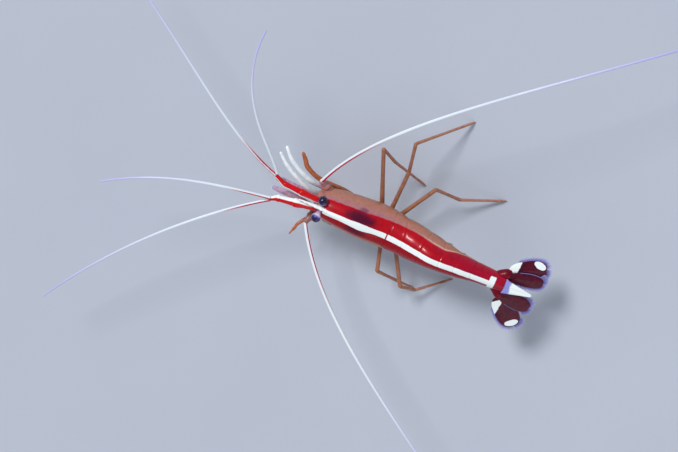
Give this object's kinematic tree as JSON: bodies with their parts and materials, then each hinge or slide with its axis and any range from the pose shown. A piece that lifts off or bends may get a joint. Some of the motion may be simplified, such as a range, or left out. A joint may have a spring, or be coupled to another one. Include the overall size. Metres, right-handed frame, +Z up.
{
  "type": "cleaner shrimp",
  "caption": "Life-size museum-style model of a cleaner shrimp standing on its walking legs, with long feelers, a striped back and a spread tail fan.",
  "frame": {"origin": "on the floor, under the middle of the bounding box", "axes": "+Z up, -X towards the head, +Y towards the animal's right side"},
  "size_m": [0.1368, 0.1436, 0.0248],
  "materials": {
    "shell": "smooth glossy crimson shell with a white stripe along the back and tan flanks",
    "flesh": "smooth, slightly translucent tan",
    "feeler": "white, finely ringed, red at the base",
    "eye": "dark glossy blue-black with a pale rim",
    "leg": "slightly translucent tan-orange",
    "scale": "thin, clear, faintly lilac",
    "swimmeret": "thin, slightly translucent pinkish tan",
    "fin": "dark red with white patches and clear lilac margins"
  },
  "bodies": {
    "root": {"carapace": "shell", "thorax": "flesh", "face": "flesh", "rostrum": "shell", "mouthparts": "flesh", "abdomen_1": "shell", "abdomen_2": "shell", "abdomen_3": "shell", "abdomen_4": "shell", "abdomen_5": "shell", "abdomen_6": "shell", "eye_right": "eye", "eyestalk_right": "flesh", "eye_left": "eye", "eyestalk_left": "flesh", "antennule_right": "shell", "antennule_left": "shell", "antennule_long_right": "feeler", "antennule_short_right": "feeler", "antennule_short_left": "feeler", "antennule_long_left": "feeler", "antenna_base_right": "flesh", "antenna_base_left": "flesh", "antenna_right": "feeler", "antenna_left": "feeler", "antenna_scale_right": "scale", "antenna_scale_left": "scale", "maxilliped_right": "feeler", "maxilliped_left": "feeler", "leg_1_right": "leg", "leg_1_left": "leg", "leg_2_right": "leg", "leg_2_left": "leg", "leg_3_right": "leg", "leg_4_right": "leg", "leg_5_right": "leg", "leg_3_left": "leg", "leg_4_left": "leg", "leg_5_left": "leg", "swimmeret_1_right": "swimmeret", "swimmeret_1_left": "swimmeret", "swimmeret_2_right": "swimmeret", "swimmeret_2_left": "swimmeret", "swimmeret_3_right": "swimmeret", "swimmeret_3_left": "swimmeret", "swimmeret_4_right": "swimmeret", "swimmeret_4_left": "swimmeret", "swimmeret_5_right": "swimmeret", "swimmeret_5_left": "swimmeret", "telson": "fin", "tail_outer_right": "fin", "tail_outer_left": "fin", "tail_inner_right": "fin", "tail_inner_left": "fin", "tail_base_right": "shell", "tail_base_left": "shell"}
  },
  "joints": []
}
